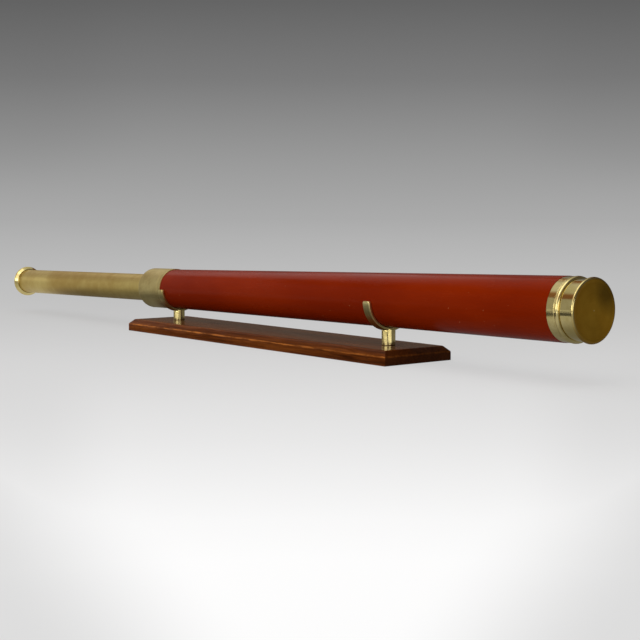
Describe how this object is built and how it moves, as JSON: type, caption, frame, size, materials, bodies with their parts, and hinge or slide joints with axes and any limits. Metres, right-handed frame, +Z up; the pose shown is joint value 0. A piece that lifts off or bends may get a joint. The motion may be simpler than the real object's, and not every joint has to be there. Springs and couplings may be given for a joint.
{
  "type": "refracting telescope",
  "caption": "Refracting telescope with a tapered lacquered barrel, a sliding brass draw and a slip-on cap, lying in the brass cradles of a wooden stand.",
  "frame": {"origin": "middle of the board's underside, where the stand rests", "axes": "+X along the board towards the objective, +Z up, the telescope axis in the XZ plane rising about one degree towards +X"},
  "size_m": [1.0878, 0.089, 0.0932],
  "materials": {
    "dark_wood": "dark stained and polished, worn lighter along the bevel",
    "polished_brass": "polished",
    "dull_brass": "matt, slightly greenish",
    "draw_brass": "satin, lengthwise wear",
    "cap_bronze": "toned dark, turned",
    "barrel_lacquer": "glossy red-brown lacquer",
    "screw_steel": "dull",
    "blackened_brass": "blackened",
    "optical_glass": "polished"
  },
  "bodies": {
    "stand": {"stand_board": "dark_wood", "eyepiece_post": "polished_brass", "objective_post": "polished_brass", "eyepiece_cradle": "polished_brass", "objective_cradle": "polished_brass", "post_screws": "screw_steel", "cradle_screws": "polished_brass"},
    "telescope": {"barrel_tube": "barrel_lacquer", "barrel_light_stop": "blackened_brass", "rear_ferrule": "dull_brass", "draw_collar": "dull_brass", "guide_sleeve": "dull_brass", "objective_collar": "polished_brass", "objective_cell": "blackened_brass", "crown_lens": "optical_glass", "flint_lens": "optical_glass", "lens_retaining_ring": "polished_brass"},
    "dust_cap_body": {"dust_cap": "cap_bronze"},
    "draw": {"draw_tube": "draw_brass", "draw_stop_ring": "dull_brass", "erector_tube": "blackened_brass", "erector_lenses": "optical_glass", "erector_lens_rings": "blackened_brass", "erector_stop": "blackened_brass", "eyepiece_cup": "polished_brass", "eyepiece_tube": "blackened_brass", "eye_lens": "optical_glass", "eye_lens_ring": "blackened_brass", "field_lens": "optical_glass", "field_lens_ring": "blackened_brass", "field_stop": "blackened_brass", "shutter_screw": "screw_steel"},
    "shutter": {"eye_shutter": "polished_brass", "shutter_knob": "polished_brass"}
  },
  "joints": [
    {"name": "telescope_lift", "type": "slide", "parent": "stand", "child": "telescope", "axis": [0, 0, 1], "range_m": [0, 0.06]},
    {"name": "draw_slide", "type": "slide", "parent": "telescope", "child": "draw", "axis": [0.9998, 0, 0.0173], "range_m": [-0.01, 0.3655]},
    {"name": "cap_slide", "type": "slide", "parent": "telescope", "child": "dust_cap_body", "axis": [0.9998, 0, 0.0173], "range_m": [0, 0.04]},
    {"name": "shutter_pivot", "type": "hinge", "parent": "draw", "child": "shutter", "pos_m": [-0.62384, 0, 0.0551], "axis": [0.9998, 0, 0.0173], "range_deg": [0, 60]}
  ]
}
